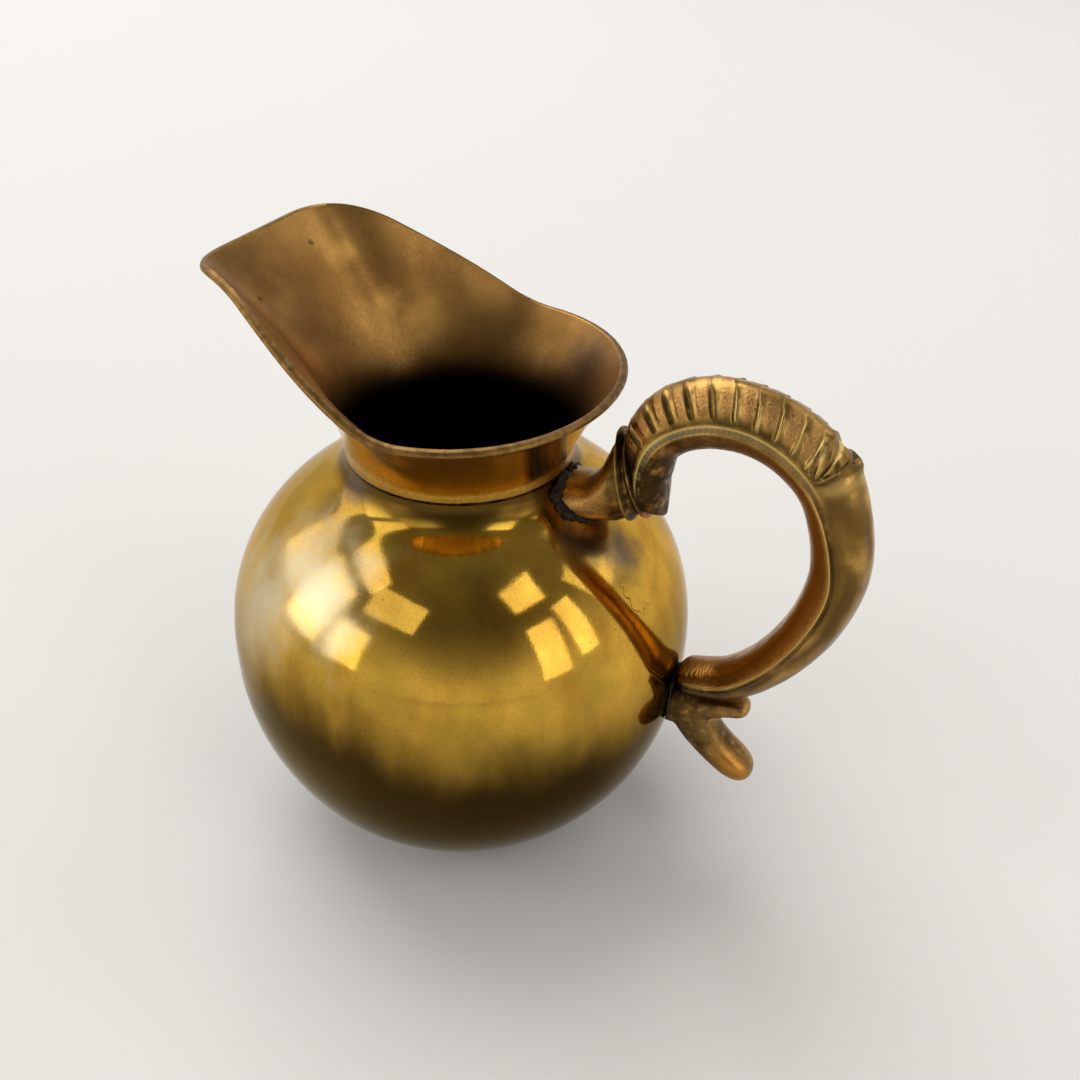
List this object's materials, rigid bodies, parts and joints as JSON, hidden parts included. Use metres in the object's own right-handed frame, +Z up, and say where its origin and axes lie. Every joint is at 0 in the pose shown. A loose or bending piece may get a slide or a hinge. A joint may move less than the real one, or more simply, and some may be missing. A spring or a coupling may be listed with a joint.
{
  "type": "brass pitcher",
  "caption": "Round-bellied brass pitcher for pouring drinks at table, with a flared mouth, a wide raised spout and a cast horn-shaped handle.",
  "frame": {"origin": "on the turning axis of the belly, on the underside of the base disc", "axes": "+Z up the turning axis, +X towards the handle, -X towards the spout, Y across the symmetric body"},
  "size_m": [0.1383, 0.104, 0.1331],
  "materials": {
    "polished_brass": "spun and polished, aged",
    "satin_brass": "satin, tarnished inside",
    "cast_brass": "cast and filed, dark patina in the grooves",
    "solder": "rough, pitted and blackened"
  },
  "bodies": {
    "root": {"belly_shell": "polished_brass", "base_disc": "polished_brass", "neck_braze": "satin_brass", "neck_spout": "satin_brass", "stem_solder": "solder", "handle_stem": "cast_brass", "handle_collar": "cast_brass", "horn": "cast_brass", "handle_foot": "cast_brass", "foot_solder": "solder"}
  },
  "joints": []
}
